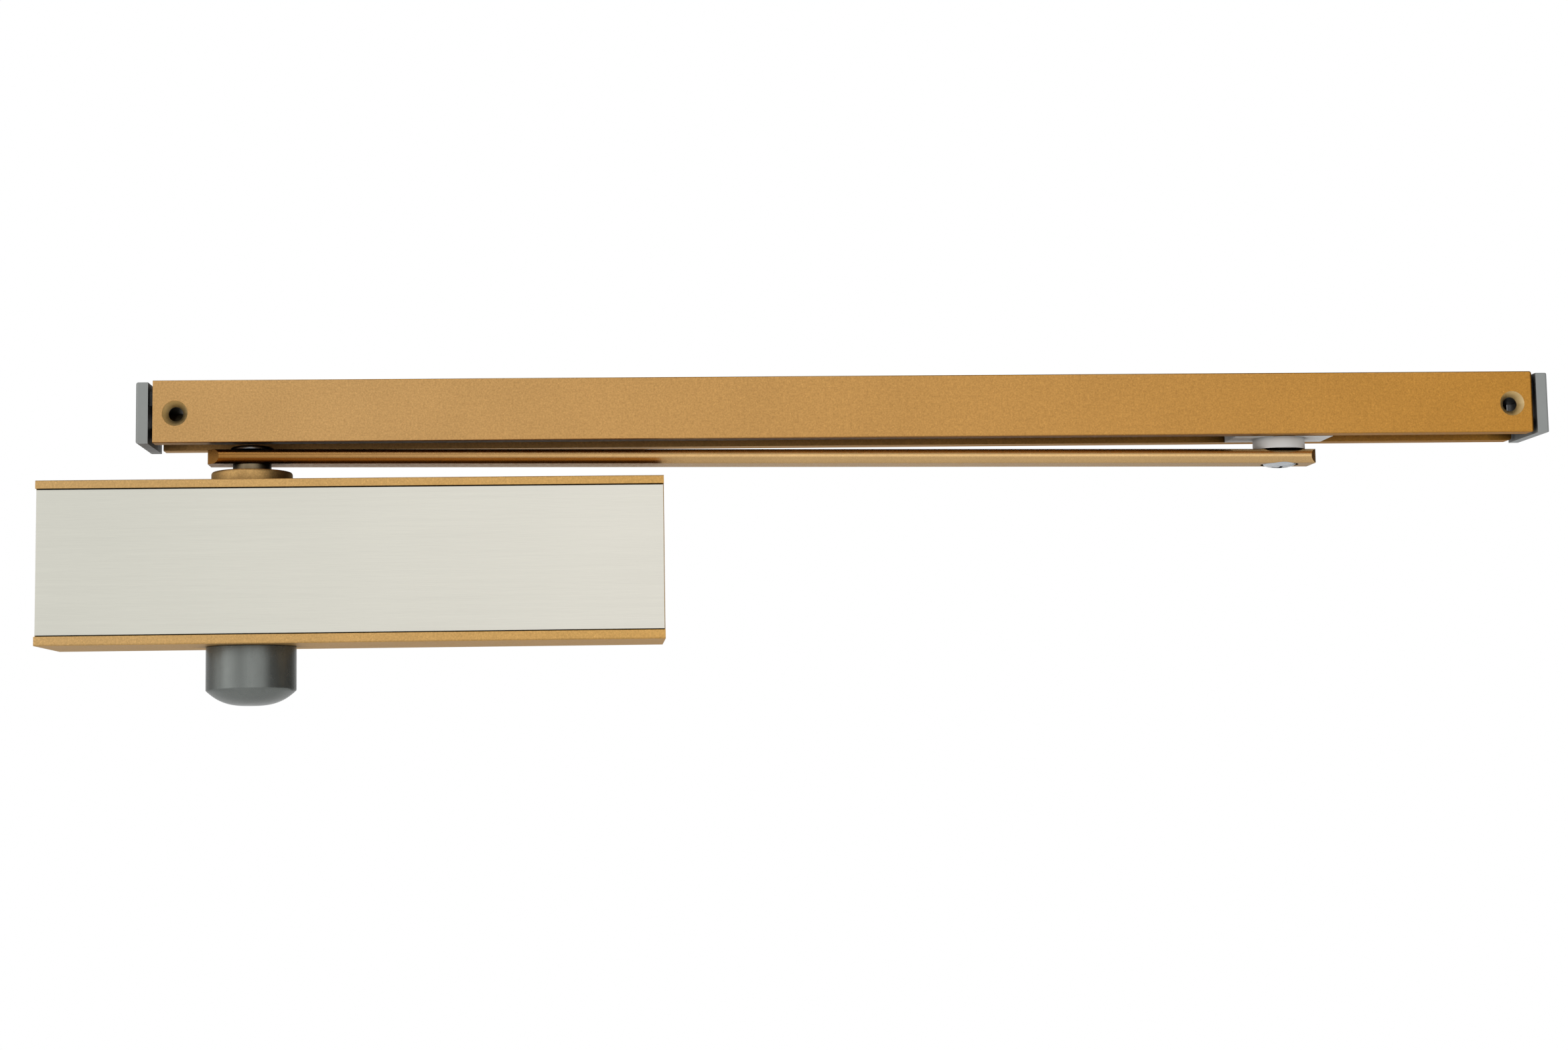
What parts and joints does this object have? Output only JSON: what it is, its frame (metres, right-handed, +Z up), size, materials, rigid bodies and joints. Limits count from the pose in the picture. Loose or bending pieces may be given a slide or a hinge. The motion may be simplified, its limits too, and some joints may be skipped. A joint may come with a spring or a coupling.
{
  "type": "door closer",
  "caption": "Surface-mounted slide-arm door closer: hydraulic body with steel front plate, flat swing arm and nylon slider running in a slotted guide rail.",
  "frame": {"origin": "centre of the body's four fixing holes, on its back face", "axes": "+X along the guide rail from the spindle towards the slider, +Y into the door the body is screwed to, +Z up"},
  "size_m": [0.5273, 0.044, 0.1124],
  "materials": {
    "gold_paint": "metallic gold paint, satin",
    "gold_arm": "metallic gold paint, smoother, satin",
    "gold_rail": "metallic gold paint with fine sparkle",
    "brushed_steel": "fine horizontal brushing",
    "grey_plastic": "matt moulded grey",
    "silver_plastic": "satin moulded plastic with silver pigment",
    "white_nylon": "matt off-white nylon",
    "seal_rubber": "black rubber",
    "bearing_steel": "ground steel",
    "plug_steel": "zinc plated",
    "spring_steel": "oiled spring steel",
    "spindle_steel": "machined steel",
    "bright_screw": "bright plated",
    "bush_bronze": "sintered bronze",
    "brass_insert": "machined brass"
  },
  "bodies": {
    "closer_body": {"housing": "gold_paint", "cover_plate": "brushed_steel", "plate_clips": "grey_plastic", "top_bearing_cover": "gold_paint", "bottom_bearing_cover": "gold_paint", "top_shaft_seal": "seal_rubber", "bottom_shaft_seal": "seal_rubber", "top_needle_bearing": "bearing_steel", "bottom_needle_bearing": "bearing_steel", "top_thrust_washer": "bearing_steel", "bottom_thrust_washer": "bearing_steel", "spindle_cap": "silver_plastic", "left_end_plug": "plug_steel", "right_end_plug": "plug_steel", "left_plug_oring": "seal_rubber", "right_plug_oring": "seal_rubber", "return_spring": "spring_steel"},
    "arm": {"spindle_pinion": "spindle_steel", "slide_arm": "gold_arm", "arm_screw": "bright_screw", "arm_bush": "bush_bronze"},
    "piston": {"piston": "bearing_steel", "check_valve_seat": "brass_insert", "check_valve_ball": "bearing_steel"},
    "adjuster": {"spring_adjuster": "plug_steel", "adjuster_oring": "seal_rubber"},
    "seat": {"spring_seat": "bearing_steel"},
    "closing_valve": {"closing_speed_valve": "brass_insert", "closing_valve_oring": "seal_rubber"},
    "latching_valve": {"latching_speed_valve": "brass_insert", "latching_valve_oring": "seal_rubber"},
    "slider": {"slider_block": "white_nylon", "slider_insert": "brass_insert", "pivot_screw": "bright_screw"},
    "rail": {"guide_rail": "gold_rail", "left_rail_end_cap": "grey_plastic", "right_rail_end_cap": "grey_plastic"}
  },
  "joints": [
    {"name": "arm_swing", "type": "hinge", "parent": "closer_body", "child": "arm", "pos_m": [-0.03665, -0.02, 0], "axis": [0, 0, 1], "range_deg": [0, 150], "stiffness_Nm_per_rad": 6, "springref_deg": -68.75},
    {"name": "slider_pivot", "type": "hinge", "parent": "arm", "child": "slider", "pos_m": [0.32752, -0.015, 0.04], "axis": [0, 0, 1], "range_deg": [-150, 90]},
    {"name": "rail_slide", "type": "slide", "parent": "slider", "child": "rail", "axis": [1, 0, 0], "range_m": [-0.053, 0.36]},
    {"name": "piston_slide", "type": "slide", "parent": "closer_body", "child": "piston", "axis": [1, 0, 0], "range_m": [0, 0.0236], "deforming": ["return_spring"]},
    {"name": "adjuster_turn", "type": "hinge", "parent": "closer_body", "child": "adjuster", "pos_m": [0.1, -0.02, 0], "axis": [1, 0, 0], "range_deg": [0, 3601]},
    {"name": "seat_slide", "type": "slide", "parent": "closer_body", "child": "seat", "axis": [-1, 0, 0], "range_m": [0, 0.015], "deforming": ["return_spring"]},
    {"name": "closing_valve_turn", "type": "hinge", "parent": "closer_body", "child": "closing_valve", "pos_m": [-0.1, -0.037, 0.012], "axis": [-1, 0, 0], "range_deg": [-180, 540]},
    {"name": "latching_valve_turn", "type": "hinge", "parent": "closer_body", "child": "latching_valve", "pos_m": [-0.1, -0.037, -0.012], "axis": [-1, 0, 0], "range_deg": [-180, 540]}
  ],
  "couplings": [
    {"joint": "piston_slide", "follows": "arm_swing", "m_per_rad": 0.009},
    {"joint": "adjuster_turn", "follows": "seat_slide", "rad_per_m": 4188.8}
  ]
}
